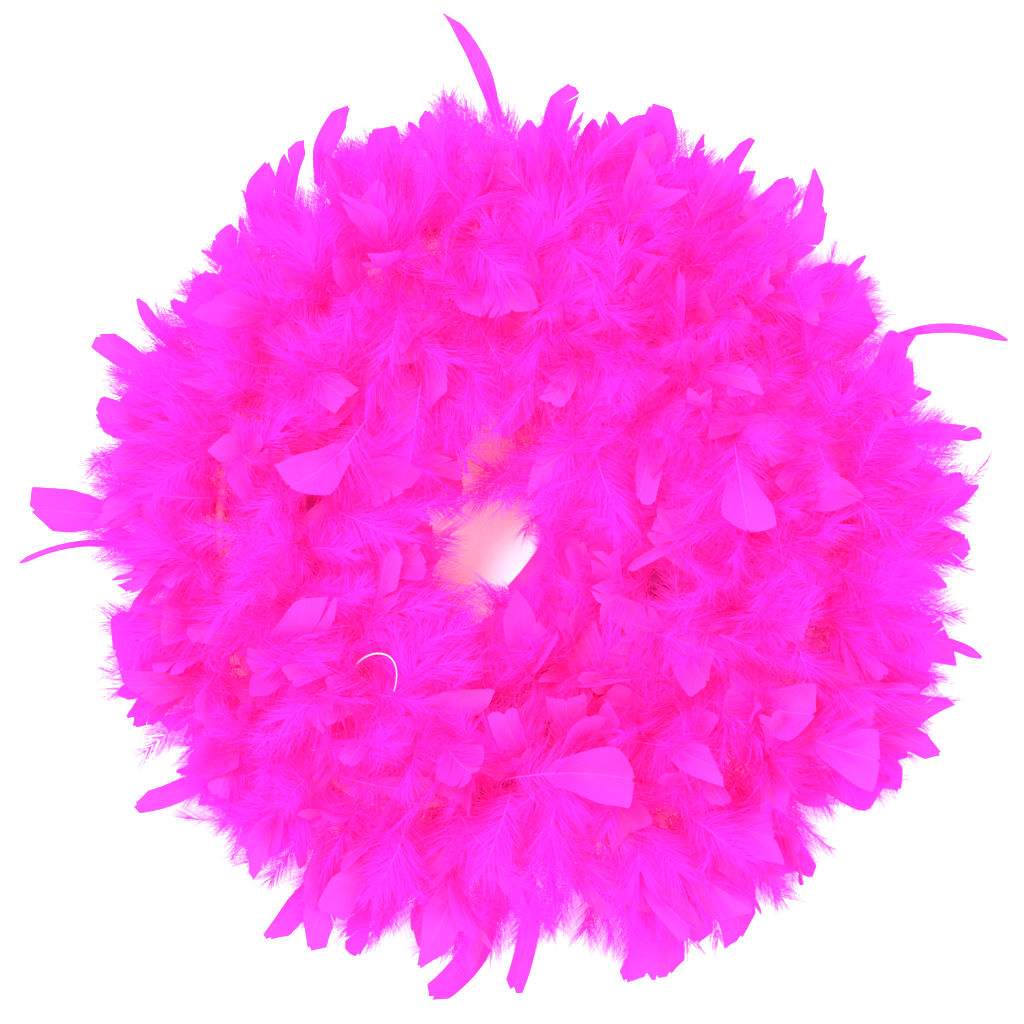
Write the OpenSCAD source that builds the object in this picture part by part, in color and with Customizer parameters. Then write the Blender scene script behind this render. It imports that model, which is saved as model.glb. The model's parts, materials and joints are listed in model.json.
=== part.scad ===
/* [Coil] */
// Radius of the outermost turn, measured to the core cord
turn_r = 156; // [154:1:158]
// Distance from one turn of the cord to the next
turn_pitch = 44; // [43.5:0.5:45]
// Share of each turn over which the cord steps in to the next turn
step_share = 0.14; // [0.12:0.01:0.15]
// Where the coil's centre lies from the origin, along X
coil_x = 7; // [0:1:10]
// Where the coil's centre lies from the origin, along Y
coil_y = -14; // [-18:1:0]

/* [Core cord] */
// Diameter of the twisted core cord
cord_d = 5; // [4:0.5:5.5]
// Height of the core cord above the surface the boa lies on
cord_z = 36; // [30:1:40]
// Diameter of the knot at each end
knot_d = 12; // [10:1:13]

/* [Feather bunches] */
// Height of the piled down above the surface
pile_h = 78; // [70:1:84]
// Reach of the outermost turn's down outwards from the cord
reach_out = 50; // [44:1:52]
// Reach of the inner turns' down into the hole in the middle
reach_in = 46; // [36:1:48]
// Half width of the down where another turn lies beside it
pressed_half = 19.5; // [18:0.5:20]
// Radius of the lane that the lashed quills leave round the cord
lane_r = 7; // [6.5:0.5:8]

/* [Bending] */
// Swing of each outer link from its coiled curve to straight, in degrees
swing_deg = 30; // [20:1:30]
// Lift of the outer end off the surface, in degrees
lift_out_deg = 30; // [20:1:30]
// Lift of each inner link out of the hole, in degrees
lift_in_deg = 20; // [10:1:20]

/* [Stray feathers] */
// Thickness of a stray feather's vane
vane_t = 0.8; // [0.6:0.1:1]
// Diameter of a stray feather's quill
quill_d = 1.8; // [1.4:0.1:2]

/* [Hidden] */

// Angles run anticlockwise round the coil from its outer end to its inner end
start_deg = -78;
first_span = 30;       // a bunch on the outermost turn
inner_span = 36;       // a bunch on the inner turns
first_count = 12;
bunch_count = 26;
end_deg = start_deg + 360 + inner_span * (bunch_count - first_count);
gap = 1.2;             // between the faces of neighbouring bunches
notch_spare_deg = 0.75;
end_clear_deg = 6;     // room for the knot at the outer end
knot_clear_deg = 3;    // between that knot and the next turn
cord_gap = 3;          // break in the cord at a stand-in hinge
hair_deg = 0.1;        // keeps a lookup just inside the bunch it is for
wide_from = 462;       // from here on nothing lies inside the second turn
wide_over = 30;
narrow_from = 590;     // and from here the cord steps in towards the hole
narrow_over = 50;
narrow_by = 8;
tail_narrow_over = 20; // the inner tail narrows again, so that it can lift clear
tail_narrow_by = 13;
profile_n = 16;
fullness = 0.9;        // 1 is an ellipse, less is squarer
flat_cut = 6;          // how far the round underside is pressed flat by the surface
bunch_steps = 5;
cord_sides = 8;
magenta = "#f22bd0";
cerise = "#e0189a";
pale_pink = "#ffb8ec";

function smooth(t) = let (u = min(1, max(0, t))) u * u * (3 - 2 * u);
function turn_of(a) = floor((a - start_deg) / 360);
function turn_part(a) = (a - start_deg) / 360 - turn_of(a);
function step_in(a) = smooth((turn_part(a) - 1 + step_share) / step_share);
function cord_r(a) = turn_r - turn_pitch * (turn_of(a) + step_in(a));
function at(r, a, z) = [coil_x + r * cos(a), coil_y + r * sin(a), z];
function heading(a) =
  let (p = at(cord_r(a - 0.5), a - 0.5, 0), q = at(cord_r(a + 0.5), a + 0.5, 0))
  atan2(q[1] - p[1], q[0] - p[0]);
function signed_power(v, p) = sign(v) * pow(abs(v), p);

// Where a bunch starts; the bunch after it starts where it ends
function bunch_start(i) = i < first_count
  ? start_deg + first_span * i
  : start_deg + 360 + inner_span * (i - first_count);

// Room that a face leaves at a joint: on its outer side for a swing, on its top for a lift
function notch(i, d, z) =
  i == 2 || i == 3 ? max(0, d) * tan(swing_deg / 2 + notch_spare_deg)
  : i == 1 ? max(0, z - cord_z) * tan(lift_out_deg / 2 + notch_spare_deg)
  : i == 24 || i == 25 ? max(0, z - cord_z) * tan(lift_in_deg / 2 + notch_spare_deg)
  : 0;
function face_shift(i, d, z) = gap / 2 + notch(i, d, z);
function first_angle(i) = bunch_start(i) + (i == 0 ? end_clear_deg : 0);
function last_angle(i) = bunch_start(i + 1) - (i == first_count - 1 ? knot_clear_deg : 0);

// Reach of the down on each side of the cord, and its profile round the cord
function outward(a) = a < start_deg + 360
  ? reach_out + turn_pitch * step_in(a) : pressed_half;
function inward(a) = a < wide_from ? pressed_half
  : a < bunch_start(23)
    ? pressed_half + (reach_in - pressed_half) * smooth((a - wide_from) / wide_over)
        - narrow_by * smooth((a - narrow_from) / narrow_over)
    : reach_in - narrow_by
        - tail_narrow_by * smooth((a - bunch_start(23)) / tail_narrow_over);
function profile_d(a, f) = signed_power(cos(f), fullness) * (cos(f) > 0 ? outward(a) : inward(a));
function profile_z(f) = sin(f) > 0
  ? cord_z + (pile_h - cord_z) * pow(sin(f), fullness)
  : max(0, cord_z - (cord_z + flat_cut) * pow(-sin(f), fullness));

function bunch_point(i, k, f, lane) =
  let (
    z = lane ? cord_z + lane_r * sin(f) : profile_z(f),
    d_first = lane ? lane_r * cos(f) : profile_d(first_angle(i) + hair_deg, f),
    d_last = lane ? lane_r * cos(f) : profile_d(last_angle(i) - hair_deg, f),
    from = first_angle(i) + face_shift(i, d_first, z)
      / (cord_r(first_angle(i) + hair_deg) + d_first) * 180 / PI,
    to = last_angle(i) - face_shift(i + 1, d_last, z)
      / (cord_r(last_angle(i) - hair_deg) + d_last) * 180 / PI,
    a = from + (to - from) * k / bunch_steps,
    a_in = min(last_angle(i) - hair_deg, max(first_angle(i) + hair_deg, a)),
    d = lane ? lane_r * cos(f) : profile_d(a_in, f)
  ) at(cord_r(a_in) + d, a, z);

// A closed sleeve of down round the cord, with an open lane for the cord and the lashed quills
module bunch_solid(i) {
  n = profile_n;
  outer = [for (k = [0:bunch_steps], j = [0:n - 1]) bunch_point(i, k, 360 * j / n, false)];
  inner = [for (k = [0:bunch_steps], j = [0:n - 1]) bunch_point(i, k, 360 * j / n, true)];
  base = len(outer);
  last = bunch_steps * n;
  sides = [for (k = [0:bunch_steps - 1], j = [0:n - 1])
    let (p = k * n + j, q = k * n + (j + 1) % n)
      each [[p, p + n, q], [q, p + n, q + n]]];
  lane = [for (k = [0:bunch_steps - 1], j = [0:n - 1])
    let (p = base + k * n + j, q = base + k * n + (j + 1) % n)
      each [[p, q, p + n], [q, q + n, p + n]]];
  first_face = [for (j = [0:n - 1]) let (q = (j + 1) % n)
    each [[j, q, base + j], [q, base + q, base + j]]];
  last_face = [for (j = [0:n - 1]) let (q = (j + 1) % n)
    each [[last + j, base + last + j, last + q], [last + q, base + last + j, base + last + q]]];
  polyhedron(concat(outer, inner), concat(sides, lane, first_face, last_face), convexity = 6);
}

module feather_bunch(i) {
  color(i % 2 == 0 ? magenta : cerise) bunch_solid(i);
}

// A stretch of the cord between two angles, in steps of a few diameters
module cord_solid(from, to, step) {
  n = max(1, round((to - from) / step));
  m = cord_sides;
  rings = [for (k = [0:n], j = [0:m - 1])
    let (a = from + (to - from) * k / n, f = 360 * j / m)
      at(cord_r(a) + cord_d / 2 * cos(f), a, cord_z + cord_d / 2 * sin(f))];
  walls = [for (k = [0:n - 1], j = [0:m - 1])
    let (p = k * m + j, q = k * m + (j + 1) % m)
      each [[p, p + m, q], [q, p + m, q + m]]];
  caps = [[for (j = [0:m - 1]) j], [for (j = [m - 1:-1:0]) n * m + j]];
  polyhedron(rings, concat(walls, caps), convexity = 8);
}

function mm_deg(length, a) = length / cord_r(a) * 180 / PI;

module cord_link(first, last, step) {
  from = bunch_start(first) + mm_deg(cord_gap / 2, bunch_start(first));
  to = bunch_start(last + 1) - mm_deg(cord_gap / 2, bunch_start(last + 1));
  color(pale_pink) cord_solid(from, to, step);
}

// Thread wound round the cord and over the feathers' quills, as a short collar
collar_bore = 3.4;
collar_r = 4.6;
collar_l = 5;
module collar(a, r, length) {
  translate(at(cord_r(a), a, cord_z)) rotate([0, 90, heading(a)])
    difference() {
      cylinder(r = r, h = length, center = true, $fn = 24);
      cylinder(r = collar_bore, h = length + 2, center = true, $fn = 24);
    }
}
module lashings(first, last) {
  color(pale_pink)
    for (i = [first:last], part = [0.25, 0.5, 0.75])
      collar(first_angle(i) + (last_angle(i) - first_angle(i)) * part, collar_r, collar_l);
}

// The two ends: a longer whipping, then a knot in the cord, in degrees past the bunch
whip_l = 7;
outer_whip = start_deg + 4;
outer_cord = start_deg + 2.5;
outer_knot = start_deg + 0.1;
inner_whip = end_deg + 4.3;
inner_cord = end_deg + 7.6;
inner_knot = end_deg + 13.4;
module whipping(a) { color(cerise) collar(a, collar_r + 0.6, whip_l); }
module knot(r, a) { color(pale_pink) translate(at(r, a, cord_z)) sphere(d = knot_d, $fn = 32); }

// One stray feather: a slim quill that widens into a thin vane, bowed to one side
vane_steps = 9;
vane_start = 0.42;     // share of its length that is bare quill
vane_lead = 0.75;      // under 1 puts the widest part nearer the quill
function vane_half(t, w) = t < vane_start ? quill_d / 2
  : quill_d / 2 + w * sin(180 * pow((t - vane_start) / (1 - vane_start), vane_lead));
function bowed(t, length, bow) = [length * t, bow * sin(90 * t) * t];
module stray(root, tip, w, bow) {
  length = norm(tip - root);
  turn = atan2(tip[1] - root[1], tip[0] - root[0]) - atan2(bow, length);
  tilt = asin((tip[2] - root[2]) / length);
  left = [for (k = [0:vane_steps]) let (t = k / vane_steps)
    bowed(t, length, bow) + [0, vane_half(t, w)]];
  right = [for (k = [vane_steps:-1:0]) let (t = k / vane_steps)
    bowed(t, length, bow) - [0, vane_half(t, w)]];
  color(magenta)
    translate(root) rotate([0, -tilt, turn])
      linear_extrude(vane_t, center = true) polygon(concat(left, right));
}
root_out = 6;
function root_at(a, z) = at(cord_r(a) + root_out, a, z);
module tall_crest_feather() { stray(root_at(91, 40), [-33, 248, 66], 6, 9); }
module top_left_hook_feather() { stray(root_at(123, 44), [-81, 202, 58], 5, 6); }
module left_fork_feather() { stray(root_at(157, 30), [-209, 88, 40], 5, -6); }
module left_blade_feather() { stray(root_at(177, 38), [-240, 2, 52], 10, 6); }
module left_whisker_feather() { stray(root_at(187, 26), [-251, -27, 30], 1.2, -8); }
module lower_left_feather() { stray(root_at(213, 24), [-193, -149, 20], 5, 8); }
module foot_left_feather() { stray(root_at(240, 26), [-123, -219, 20], 6, -7); }
module foot_curl_feather() { stray(root_at(261, 30), [-41, -248, 22], 8, 9); }
module foot_right_feather() { stray(root_at(-63, 26), [82, -236, 20], 7, -8); }
module lower_right_feather() { stray(root_at(-34, 28), [197, -142, 26], 6, 8); }
module right_point_feather() { stray(root_at(-4, 44), [235, 12, 50], 7, 6); }
module right_whisker_feather() { stray(root_at(27, 36), [251, 86, 40], 2.6, 10); }
module top_right_curl_feather() { stray(root_at(54, 44), [150, 172, 56], 7, -10); }
module crown_blade_feather() { stray(at(100, 143, 62), [-106, 12, 95], 10, -6); }
module crest_blade_feather() { stray(at(116, 26, 62), [113, -8, 94], 11, 6); }
module lower_blade_feather() { stray(at(120, 265, 60), [58, -132, 95], 12, 5); }

// The cord's two end stretches run on through the whippings to the knots
module core_cord_outer_end() {
  color(pale_pink) cord_solid(outer_cord, bunch_start(1) - mm_deg(cord_gap / 2, 0), 7.5);
}
module core_cord_inner_end() {
  color(pale_pink) cord_solid(bunch_start(25) + mm_deg(cord_gap / 2, end_deg), inner_cord, 12);
}

feather_bunch(0);  // feather_bunch_01
feather_bunch(1);  // feather_bunch_02
feather_bunch(2);  // feather_bunch_03
feather_bunch(3);  // feather_bunch_04
feather_bunch(4);  // feather_bunch_05
feather_bunch(5);  // feather_bunch_06
feather_bunch(6);  // feather_bunch_07
feather_bunch(7);  // feather_bunch_08
feather_bunch(8);  // feather_bunch_09
feather_bunch(9);  // feather_bunch_10
feather_bunch(10);  // feather_bunch_11
feather_bunch(11);  // feather_bunch_12
feather_bunch(12);  // feather_bunch_13
feather_bunch(13);  // feather_bunch_14
feather_bunch(14);  // feather_bunch_15
feather_bunch(15);  // feather_bunch_16
feather_bunch(16);  // feather_bunch_17
feather_bunch(17);  // feather_bunch_18
feather_bunch(18);  // feather_bunch_19
feather_bunch(19);  // feather_bunch_20
feather_bunch(20);  // feather_bunch_21
feather_bunch(21);  // feather_bunch_22
feather_bunch(22);  // feather_bunch_23
feather_bunch(23);  // feather_bunch_24
feather_bunch(24);  // feather_bunch_25
feather_bunch(25);  // feather_bunch_26
core_cord_outer_end();
cord_link(1, 1, 7.5);  // core_cord_outer_mid
cord_link(2, 2, 7.5);  // core_cord_outer_tail
cord_link(3, 23, 9);  // core_cord_coil
cord_link(24, 24, 12);  // core_cord_inner_tail
core_cord_inner_end();
lashings(0, 0);  // quill_lashing_outer_end
lashings(1, 1);  // quill_lashing_outer_mid
lashings(2, 2);  // quill_lashing_outer_tail
lashings(3, 23);  // quill_lashing_coil
lashings(24, 24);  // quill_lashing_inner_tail
lashings(25, 25);  // quill_lashing_inner_end
whipping(outer_whip);  // whipping_outer_end
whipping(inner_whip);  // whipping_inner_end
knot(turn_r, outer_knot);  // knot_outer_end
knot(turn_r - 2 * turn_pitch, inner_knot);  // knot_inner_end
tall_crest_feather();
top_left_hook_feather();
left_fork_feather();
left_blade_feather();
left_whisker_feather();
lower_left_feather();
foot_left_feather();
foot_curl_feather();
foot_right_feather();
lower_right_feather();
right_point_feather();
right_whisker_feather();
top_right_curl_feather();
crown_blade_feather();
crest_blade_feather();
lower_blade_feather();
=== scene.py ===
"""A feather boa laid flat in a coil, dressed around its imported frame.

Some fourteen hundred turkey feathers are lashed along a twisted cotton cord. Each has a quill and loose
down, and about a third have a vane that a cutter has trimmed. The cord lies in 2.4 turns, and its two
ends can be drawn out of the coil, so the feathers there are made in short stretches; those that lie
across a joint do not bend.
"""

import json
import logging
import math
from dataclasses import dataclass, field
from enum import Enum

import bpy
import numpy as np
from numpy.typing import NDArray
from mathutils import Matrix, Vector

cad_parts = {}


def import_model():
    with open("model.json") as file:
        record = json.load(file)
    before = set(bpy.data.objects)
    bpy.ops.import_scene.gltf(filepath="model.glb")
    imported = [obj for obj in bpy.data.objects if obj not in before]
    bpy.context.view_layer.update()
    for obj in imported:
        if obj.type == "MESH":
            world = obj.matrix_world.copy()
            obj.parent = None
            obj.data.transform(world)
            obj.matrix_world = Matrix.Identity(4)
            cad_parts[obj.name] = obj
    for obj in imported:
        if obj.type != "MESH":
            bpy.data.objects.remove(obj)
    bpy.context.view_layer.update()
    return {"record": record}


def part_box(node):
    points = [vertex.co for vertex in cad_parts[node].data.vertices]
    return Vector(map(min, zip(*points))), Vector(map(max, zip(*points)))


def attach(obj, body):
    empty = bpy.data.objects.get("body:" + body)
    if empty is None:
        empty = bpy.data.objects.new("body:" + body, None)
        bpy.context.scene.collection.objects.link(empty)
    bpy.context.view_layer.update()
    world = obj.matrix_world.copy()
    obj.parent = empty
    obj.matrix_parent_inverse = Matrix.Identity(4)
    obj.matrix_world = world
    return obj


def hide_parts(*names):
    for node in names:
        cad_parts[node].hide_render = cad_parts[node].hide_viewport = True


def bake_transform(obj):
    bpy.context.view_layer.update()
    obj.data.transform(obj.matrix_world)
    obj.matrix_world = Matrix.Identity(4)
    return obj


Array = NDArray[np.float64]
LOG = logging.getLogger("feather_boa")
MM = 0.001
UP = np.array([0.0, 0.0, 1.0])
ROUND = 8                     # sides of a thin rod or thread
PRESSED = 1.04                # wound threads are this much fatter than their spacing, so they touch


# ---------------------------------------------------------------- small helpers

def linear(hex_colour: str) -> tuple[float, float, float, float]:
    """Turns an sRGB hex colour into the linear RGBA that shaders take.

    Args:
        hex_colour: six hex digits, such as "ff33cc".

    Returns:
        Red, green, blue and alpha, with alpha 1.
    """
    parts = [int(hex_colour[i:i + 2], 16) / 255 for i in (0, 2, 4)]
    lit = [c / 12.92 if c <= 0.04045 else ((c + 0.055) / 1.055) ** 2.4 for c in parts]
    return (lit[0], lit[1], lit[2], 1.0)


def unit(v: Array) -> Array:
    """Scales vectors on the last axis to length one."""
    return v / np.maximum(np.linalg.norm(v, axis=-1, keepdims=True), 1e-12)


def dot(a: Array, b: Array) -> Array:
    """Dot product on the last axis, which is kept."""
    return np.sum(a * b, axis=-1, keepdims=True)


def smooth(t: Array) -> Array:
    """The usual ease from 0 to 1."""
    u = np.clip(t, 0.0, 1.0)
    return u * u * (3 - 2 * u)


def add_node(tree: bpy.types.NodeTree, kind: str, settings: dict | None = None,
             **sockets: object) -> bpy.types.Node:
    """Adds one shader node, sets it and links it.

    Args:
        tree: the material's or world's node tree.
        kind: the node's type, such as "ShaderNodeTexNoise".
        settings: the node's own properties, by name.
        sockets: inputs by name with _ for a space, or by number as i0, i1. A node or an output
            socket is linked in, and anything else becomes the input's value.

    Returns:
        The new node.
    """
    node = tree.nodes.new(kind)
    for name, value in (settings or {}).items():
        setattr(node, name, value)
    for name, value in sockets.items():
        plain = name[1:].isdigit() and name[0] == "i"
        socket = node.inputs[int(name[1:])] if plain else node.inputs[name.replace("_", " ")]
        if isinstance(value, bpy.types.Node):
            tree.links.new(value.outputs[0], socket)
        elif isinstance(value, bpy.types.NodeSocket):
            tree.links.new(value, socket)
        else:
            socket.default_value = value
    return node


# ---------------------------------------------------------------- finishes

@dataclass(frozen=True)
class FeatherFinish:
    """A dyed feather surface: thin keratin that glows where light comes through it.

    Turkey feather dyed in an acid bath. The dye takes unevenly, so the hue drifts over a few
    centimetres and pales towards thin edges, and the barbs lie in fine parallel ridges.
    """

    name: str
    body: str            # the colour where the dye took well
    pale: str            # where it took less
    glow: str            # light that comes through
    through: float       # share of light that passes
    roughness: float
    sheen: float
    ridge_mm: float      # distance between barb ridges, drawn coarser than life so that it shows
    ridge_depth: float
    drift_mm: float = 24.0
    streak: float = 0.3  # how much the tint follows the barbs and not the drift

    def material(self) -> bpy.types.Material:
        """Builds the shader.

        Returns:
            The material, named for the finish.
        """
        mat = bpy.data.materials.new(self.name)
        mat.use_nodes = True
        tree = mat.node_tree
        tree.nodes.clear()
        place = add_node(tree, "ShaderNodeTexCoord")
        drift = add_node(tree, "ShaderNodeTexNoise", None, Vector=place.outputs["Object"],
                         Scale=1.0 / (self.drift_mm * MM), Detail=3.0, Roughness=0.6)
        barbs = add_node(tree, "ShaderNodeTexWave", {"wave_type": "BANDS", "bands_direction": "Y"},
                         Vector=place.outputs["UV"], Scale=math.pi / (10 * self.ridge_mm),
                         Distortion=1.6, Detail=2.0)
        streak = add_node(tree, "ShaderNodeMix", {"data_type": "FLOAT"}, i0=self.streak,
                          i2=drift.outputs["Fac"], i3=barbs.outputs["Fac"])
        spread = add_node(tree, "ShaderNodeMapRange", None, Value=streak.outputs[0],
                          From_Min=0.25, From_Max=0.75)
        tint = add_node(tree, "ShaderNodeMix", {"data_type": "RGBA"}, i0=spread.outputs[0],
                        i6=linear(self.body), i7=linear(self.pale))
        bump = add_node(tree, "ShaderNodeBump", None, Height=barbs.outputs["Fac"],
                        Strength=self.ridge_depth, Distance=0.3 * MM)
        front = add_node(tree, "ShaderNodeBsdfPrincipled", None, Base_Color=tint.outputs[2],
                         Roughness=self.roughness, IOR=1.54, Normal=bump,
                         Specular_IOR_Level=0.35, Sheen_Weight=self.sheen, Sheen_Roughness=0.4,
                         Sheen_Tint=linear(self.pale))
        back = add_node(tree, "ShaderNodeBsdfTranslucent", None, Color=linear(self.glow))
        both = add_node(tree, "ShaderNodeMixShader", None, Fac=self.through, i1=front, i2=back)
        add_node(tree, "ShaderNodeOutputMaterial", None, Surface=both)
        return mat


@dataclass(frozen=True)
class YarnFinish:
    """Spun yarn: matt twisted fibre with a fine fuzz, shaded darker between its plies."""

    name: str
    body: str
    deep: str
    fibre_mm: float
    roughness: float = 0.85

    def material(self) -> bpy.types.Material:
        """Builds the shader.

        Returns:
            The material, named for the finish.
        """
        mat = bpy.data.materials.new(self.name)
        mat.use_nodes = True
        tree = mat.node_tree
        tree.nodes.clear()
        place = add_node(tree, "ShaderNodeTexCoord")
        fibre = add_node(tree, "ShaderNodeTexNoise", None, Vector=place.outputs["Object"],
                         Scale=1.0 / (self.fibre_mm * MM), Detail=4.0, Roughness=0.7)
        tint = add_node(tree, "ShaderNodeMix", {"data_type": "RGBA"}, i0=fibre.outputs["Fac"],
                        i6=linear(self.deep), i7=linear(self.body))
        bump = add_node(tree, "ShaderNodeBump", None, Height=fibre.outputs["Fac"],
                        Strength=0.6, Distance=0.2 * MM)
        skin = add_node(tree, "ShaderNodeBsdfPrincipled", None, Base_Color=tint.outputs[2],
                        Roughness=self.roughness, IOR=1.5, Normal=bump, Sheen_Weight=0.3)
        add_node(tree, "ShaderNodeOutputMaterial", None, Surface=skin)
        return mat


# Cut vanes: smooth, faintly silky, with thin edges that light up
VANE = FeatherFinish("acid_dyed_turkey_vane", "f91ea4", "ff32c0", "ff2ab6", 0.42, 0.6, 0.1, 1.1, 0.5)
# Loose down: softer and lighter than the vane, with no gloss of its own
DOWN = FeatherFinish("acid_dyed_turkey_down", "ff28d6", "ff3ce2", "ff34da", 0.5, 0.8, 0.2, 0.9, 0.15)
# Quills take less dye than barbs, so they read as a pale line
QUILL = FeatherFinish("dyed_feather_quill", "fd2cb6", "ff48cc", "ff40c4", 0.2, 0.45, 0.0, 2.0, 0.1)
# A quill that lost its barbs and with them most of its dye: near white, with the gloss of horn
PALE_QUILL = FeatherFinish("bare_horn_quill", "f8b4d4", "ffd8ea", "ffc8e0", 0.2, 0.3, 0.0, 2.0, 0.1)
# Three-ply cotton, dyed with the feathers, and so unevenly
CORD = YarnFinish("three_ply_cotton_cord", "f58ad0", "c42a8c", 0.7)
# Doubled sewing thread, wound tight
THREAD = YarnFinish("wound_polyester_thread", "f04cb8", "b81480", 0.35, 0.55)


# ---------------------------------------------------------------- meshes

@dataclass
class Surface:
    """Collects quads and triangles for one mesh, all as arrays."""

    points: list[Array] = field(default_factory=list)
    lays: list[Array] = field(default_factory=list)
    quads: list[NDArray[np.int64]] = field(default_factory=list)
    tris: list[NDArray[np.int64]] = field(default_factory=list)
    quad_slots: list[NDArray[np.int64]] = field(default_factory=list)
    tri_slots: list[NDArray[np.int64]] = field(default_factory=list)
    count: int = 0

    def grid(self, points: Array, lay: Array, slot: int = 0, closed: bool = False) -> None:
        """Adds many grids at once.

        Args:
            points: (grids, rows, columns, 3).
            lay: (grids, rows, columns, 2), the UV of each point in millimetres.
            slot: the material slot of every quad.
            closed: whether the last column joins the first, as round a tube.
        """
        g, r, c, _ = points.shape
        ids = self.count + np.arange(g * r * c).reshape(g, r, c)
        nxt = np.roll(ids, -1, axis=2) if closed else ids[:, :, 1:]
        cur = ids if closed else ids[:, :, :-1]
        faces = np.stack([cur[:, :-1], nxt[:, :-1], nxt[:, 1:], cur[:, 1:]], axis=-1)
        self.points.append(points.reshape(-1, 3))
        self.lays.append(lay.reshape(-1, 2))
        self.quads.append(faces.reshape(-1, 4))
        self.quad_slots.append(np.full(faces.size // 4, slot))
        self.count += g * r * c

    def ribbons(self, points: Array, lay: Array, slot: int = 0) -> None:
        """Adds many ribbons that end in a point.

        Args:
            points: (ribbons, 2 * stations + 1, 3): left and right at each station, then the tip.
            lay: (ribbons, 2 * stations + 1, 2), the UV of each point in millimetres.
            slot: the material slot of every face.
        """
        n, m, _ = points.shape
        first = self.count + np.arange(n)[:, None] * m
        for k in range((m - 1) // 2 - 1):
            quad = first + np.array([2 * k, 2 * k + 1, 2 * k + 3, 2 * k + 2])
            self.quads.append(quad)
            self.quad_slots.append(np.full(n, slot))
        self.tris.append(first + np.array([m - 3, m - 2, m - 1]))
        self.tri_slots.append(np.full(n, slot))
        self.points.append(points.reshape(-1, 3))
        self.lays.append(lay.reshape(-1, 2))
        self.count += n * m

    def build(self, name: str, materials: list[bpy.types.Material]) -> bpy.types.Object:
        """Makes the Blender object.

        Args:
            name: the piece's name.
            materials: one for each slot.

        Returns:
            The new object, linked to the scene.
        """
        points = np.concatenate(self.points)
        lays = np.concatenate(self.lays)
        quads = np.concatenate(self.quads) if self.quads else np.zeros((0, 4), int)
        tris = np.concatenate(self.tris) if self.tris else np.zeros((0, 3), int)
        slots = np.concatenate([*self.quad_slots, *self.tri_slots])
        loops = np.concatenate([quads.ravel(), tris.ravel()]).astype(np.int32)
        starts = np.concatenate([np.arange(len(quads)) * 4,
                                 len(quads) * 4 + np.arange(len(tris)) * 3]).astype(np.int32)
        mesh = bpy.data.meshes.new(name)
        mesh.vertices.add(len(points))
        mesh.vertices.foreach_set("co", points.astype(np.float32).ravel())
        mesh.loops.add(len(loops))
        mesh.loops.foreach_set("vertex_index", loops)
        mesh.polygons.add(len(starts))
        mesh.polygons.foreach_set("loop_start", starts)
        mesh.polygons.foreach_set("material_index", slots.astype(np.int32))
        mesh.polygons.foreach_set("use_smooth", np.ones(len(starts), bool))
        uv = mesh.uv_layers.new(name="lay")
        uv.data.foreach_set("uv", lays[loops].astype(np.float32).ravel())
        mesh.update(calc_edges=True)
        mesh.validate()
        for mat in materials:
            mesh.materials.append(mat)
        piece = bpy.data.objects.new(name, mesh)
        bpy.context.scene.collection.objects.link(piece)
        return piece


# ---------------------------------------------------------------- the coil

@dataclass(frozen=True)
class Coil:
    """How the cord lies: flat turns that step in one after another. The frame's own numbers."""

    centre: tuple[float, float] = (0.007, -0.014)
    turn_r: float = 0.156
    pitch: float = 0.044
    step_share: float = 0.14
    start: float = -78.0
    first_span: float = 30.0
    inner_span: float = 36.0
    first_count: int = 12
    bunches: int = 26
    cord_z: float = 0.036

    @property
    def end(self) -> float:
        """The angle at which the last bunch ends."""
        return self.boundary(self.bunches)

    def boundary(self, i: int) -> float:
        """The angle at which bunch i starts, counting from 0."""
        if i < self.first_count:
            return self.start + self.first_span * i
        return self.start + 360 + self.inner_span * (i - self.first_count)

    def stepped(self, a: Array) -> Array:
        """How far the cord has stepped in towards the next turn, from 0 to 1."""
        part = (np.asarray(a, float) - self.start) / 360
        return smooth((part - np.floor(part) - 1 + self.step_share) / self.step_share)

    def radius(self, a: Array) -> Array:
        """The cord's distance from the coil's centre at each angle."""
        turn = np.floor((np.asarray(a, float) - self.start) / 360)
        return self.turn_r - self.pitch * (turn + self.stepped(a))

    def point(self, a: Array, z: float | None = None, out: Array | float = 0.0) -> Array:
        """Points beside the cord.

        Args:
            a: angles round the coil.
            z: height, or None for the cord's own.
            out: distance outwards from the cord.

        Returns:
            Points, with one more axis than a.
        """
        a = np.asarray(a, float)
        r = self.radius(a) + out
        x = self.centre[0] + r * np.cos(np.radians(a))
        y = self.centre[1] + r * np.sin(np.radians(a))
        return np.stack([x, y, np.broadcast_to(self.cord_z if z is None else z, x.shape)], -1)

    def outwards(self, a: Array) -> Array:
        """Unit vectors away from the coil's centre."""
        a = np.radians(np.asarray(a, float))
        return np.stack([np.cos(a), np.sin(a), np.zeros_like(a)], -1)

    def forwards(self, a: Array) -> Array:
        """Unit vectors along the cord, towards its inner end."""
        a = np.asarray(a, float)
        return unit(self.point(a + 0.5) - self.point(a - 0.5))


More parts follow.
